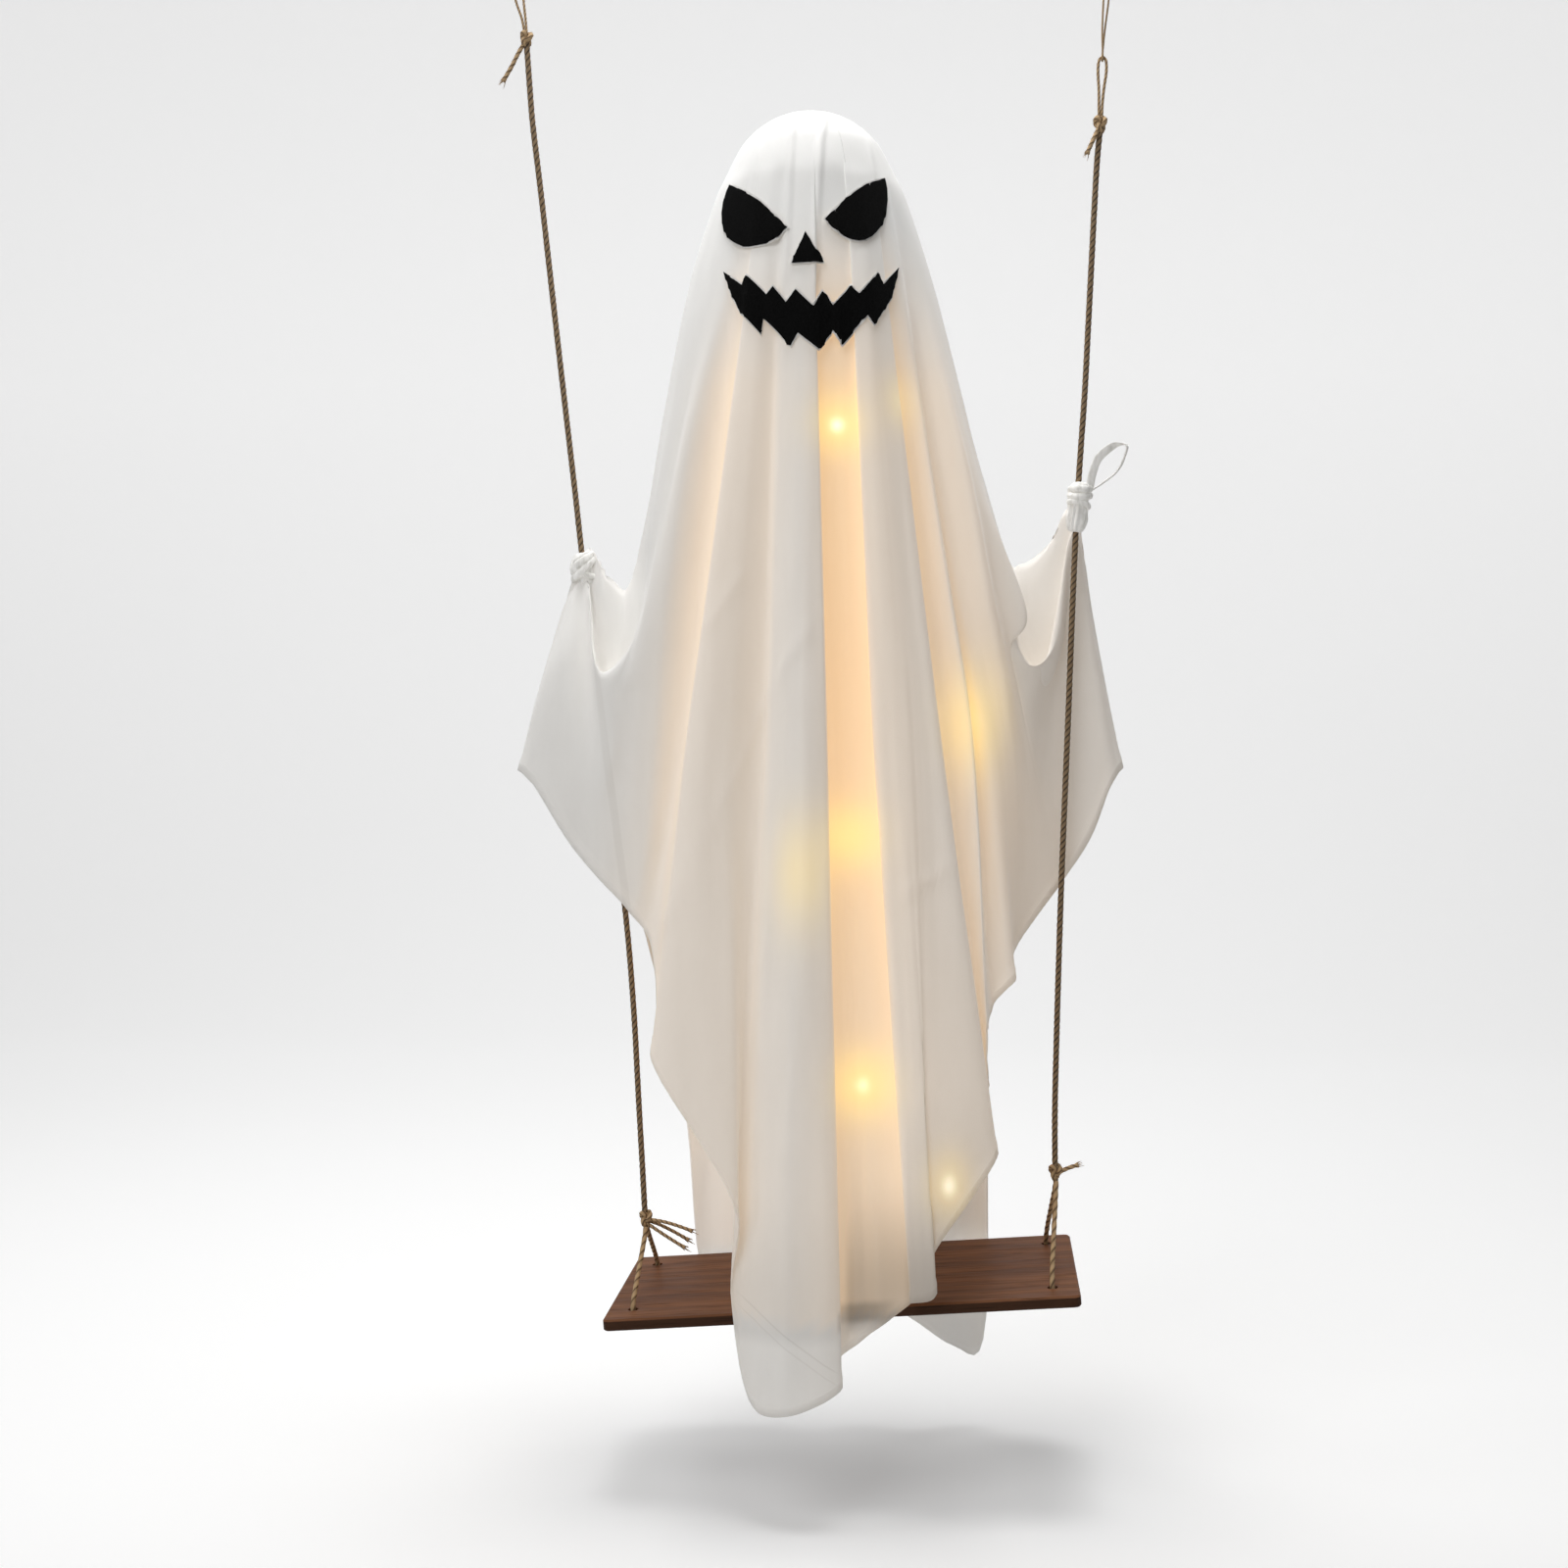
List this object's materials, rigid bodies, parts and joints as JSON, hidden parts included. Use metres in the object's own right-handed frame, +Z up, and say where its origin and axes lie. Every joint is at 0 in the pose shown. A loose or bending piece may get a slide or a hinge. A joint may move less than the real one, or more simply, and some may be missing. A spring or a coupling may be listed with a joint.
{
  "type": "hanging ghost figure",
  "caption": "A white sheet ghost with a black felt face sits on a dark wooden swing seat hung by jute ropes from ceiling hooks; the swing rocks front to back",
  "frame": {"origin": "on the ceiling, midway between the two hooks", "axes": "+Z up, +X to the right seen from the front, -Y to the front"},
  "size_m": [0.6171, 0.2985, 1.4274],
  "materials": {
    "jute": "rough",
    "twine": "rough",
    "cotton": "soft",
    "felt": "matte",
    "walnut": "satin",
    "dowel": "matte",
    "foam": "matte",
    "zinc": "satin",
    "black_plastic": "matte",
    "wire": "gloss",
    "bulb": "gloss",
    "cell": "satin"
  },
  "bodies": {
    "ceiling_hooks": {"left_ceiling_hook": "zinc", "right_ceiling_hook": "zinc"},
    "swing": {"left_top_knot": "jute", "right_top_knot": "jute", "right_rope_eye": "jute", "left_rope": "jute", "right_rope": "jute", "left_seat_knot": "jute", "right_seat_knot": "jute", "left_seat_loop": "jute", "right_seat_loop": "jute", "left_top_loop": "twine", "right_twine": "twine", "sheet": "cotton", "left_hand_knot": "cotton", "right_hand_knot": "cotton", "right_hand_loop": "cotton", "left_eye": "felt", "right_eye": "felt", "nose": "felt", "mouth": "felt", "seat_board": "walnut", "post": "dowel", "head_ball": "foam", "post_flange": "zinc", "flange_screw_1": "zinc", "flange_screw_2": "zinc", "flange_screw_3": "zinc", "flange_screw_4": "zinc", "battery_springs": "zinc", "battery_contacts": "zinc", "battery_case": "black_plastic", "light_wire": "wire", "bulb_1": "bulb", "bulb_2": "bulb", "bulb_3": "bulb", "bulb_4": "bulb", "bulb_5": "bulb", "bulb_6": "bulb", "bulb_7": "bulb", "battery_1": "cell", "battery_2": "cell", "battery_3": "cell"},
    "cover": {"battery_cover": "black_plastic"},
    "switch": {"switch_slider": "black_plastic"}
  },
  "joints": [
    {"name": "swing_hang", "type": "hinge", "parent": "ceiling_hooks", "child": "swing", "pos_m": [0, 0, -0.034], "axis": [1, 0, 0], "range_deg": [-28, 28]},
    {"name": "cover_slide", "type": "slide", "parent": "swing", "child": "cover", "axis": [-0.0785, 0, 0.9969], "range_m": [0, 0.05]},
    {"name": "switch_slide", "type": "slide", "parent": "swing", "child": "switch", "axis": [-0.0785, 0, 0.9969], "range_m": [0, 0.004]}
  ]
}
